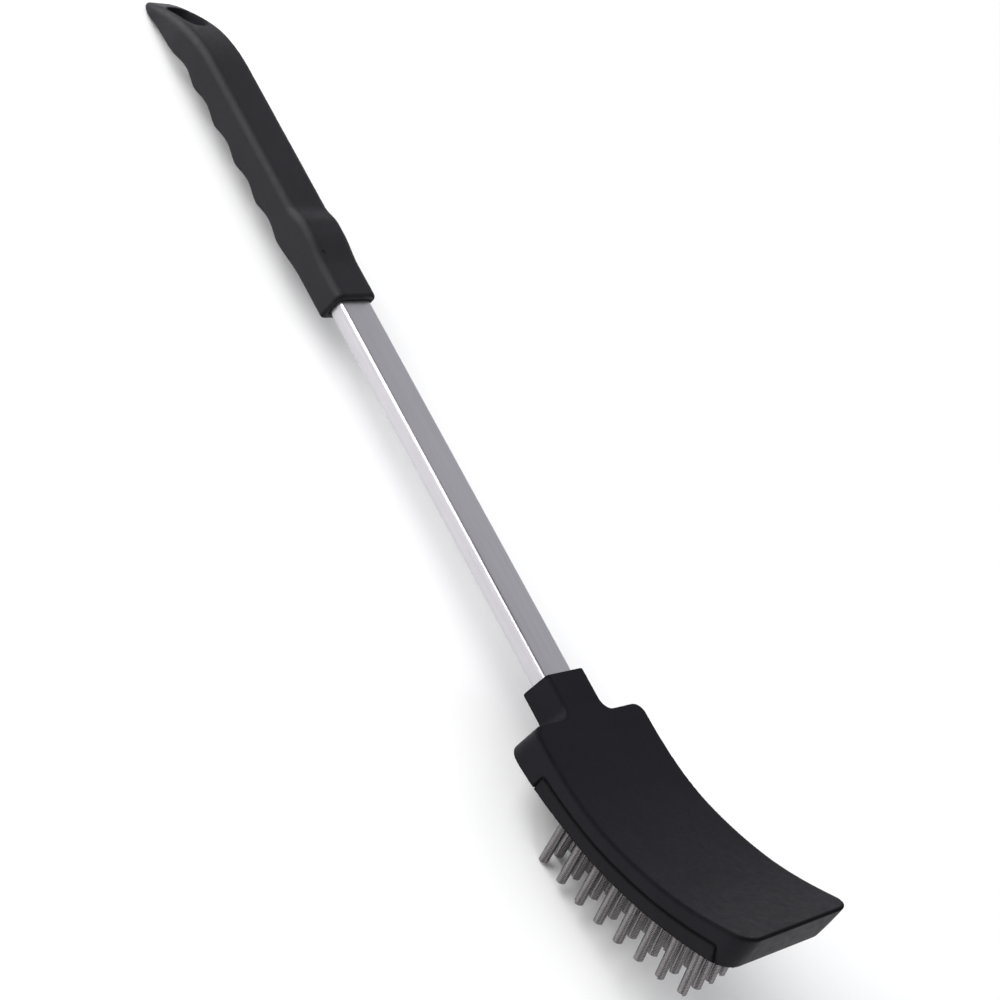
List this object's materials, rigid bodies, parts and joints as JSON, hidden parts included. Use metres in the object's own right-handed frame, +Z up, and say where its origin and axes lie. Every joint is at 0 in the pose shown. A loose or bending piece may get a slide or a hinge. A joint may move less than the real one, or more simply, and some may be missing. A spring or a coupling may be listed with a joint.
{
  "type": "grill cleaning brush",
  "caption": "Long-handled grill brush: moulded finger grip with a hanging slot, flat steel shaft, curved head and a clip-in pad of wire coil bristles.",
  "frame": {"origin": "on the ground under the middle of the object's bounding box", "axes": "+X along the shaft from the grip towards the head, +Z up from the bristle side to the smooth back, brush lying on its rear coils and the tail of its grip"},
  "size_m": [0.4716, 0.0636, 0.0728],
  "materials": {
    "grip_plastic": "black, fine matte grain",
    "head_plastic": "black, fine matte grain",
    "pad_plastic": "black, fine matte grain",
    "brushed_steel": "stainless, brushed along the tube",
    "coil_steel": "stainless wire, close wound"
  },
  "bodies": {
    "refill_pad": {"pad_base": "pad_plastic", "coil_c1_r1": "coil_steel", "coil_c1_r2": "coil_steel", "coil_c1_r3": "coil_steel", "coil_c1_r4": "coil_steel", "coil_c1_r5": "coil_steel", "coil_c1_r6": "coil_steel", "coil_c1_r7": "coil_steel", "coil_c2_r1": "coil_steel", "coil_c2_r2": "coil_steel", "coil_c2_r3": "coil_steel", "coil_c2_r4": "coil_steel", "coil_c2_r5": "coil_steel", "coil_c2_r6": "coil_steel", "coil_c2_r7": "coil_steel", "coil_c3_r1": "coil_steel", "coil_c3_r2": "coil_steel", "coil_c3_r3": "coil_steel", "coil_c3_r4": "coil_steel", "coil_c3_r5": "coil_steel", "coil_c3_r6": "coil_steel", "coil_c3_r7": "coil_steel", "coil_c4_r1": "coil_steel", "coil_c4_r2": "coil_steel", "coil_c4_r3": "coil_steel", "coil_c4_r4": "coil_steel", "coil_c4_r5": "coil_steel", "coil_c4_r6": "coil_steel", "coil_c4_r7": "coil_steel", "coil_c5_r1": "coil_steel", "coil_c5_r2": "coil_steel", "coil_c5_r3": "coil_steel", "coil_c5_r4": "coil_steel", "coil_c5_r5": "coil_steel", "coil_c5_r6": "coil_steel", "coil_c5_r7": "coil_steel", "coil_c6_r1": "coil_steel", "coil_c6_r2": "coil_steel", "coil_c6_r3": "coil_steel", "coil_c6_r4": "coil_steel", "coil_c6_r5": "coil_steel", "coil_c6_r6": "coil_steel", "coil_c6_r7": "coil_steel", "coil_c7_r1": "coil_steel", "coil_c7_r2": "coil_steel", "coil_c7_r3": "coil_steel", "coil_c7_r4": "coil_steel", "coil_c7_r5": "coil_steel", "coil_c7_r6": "coil_steel", "coil_c7_r7": "coil_steel", "coil_c8_r1": "coil_steel", "coil_c8_r2": "coil_steel", "coil_c8_r3": "coil_steel", "coil_c8_r4": "coil_steel", "coil_c8_r5": "coil_steel", "coil_c8_r6": "coil_steel", "coil_c8_r7": "coil_steel"},
    "brush": {"handle_grip": "grip_plastic", "shaft_tube": "brushed_steel", "head_holder": "head_plastic"}
  },
  "joints": [
    {"name": "pad_release", "type": "slide", "parent": "refill_pad", "child": "brush", "axis": [-0.3645, 0, 0.9312], "range_m": [0, 0.014]}
  ]
}
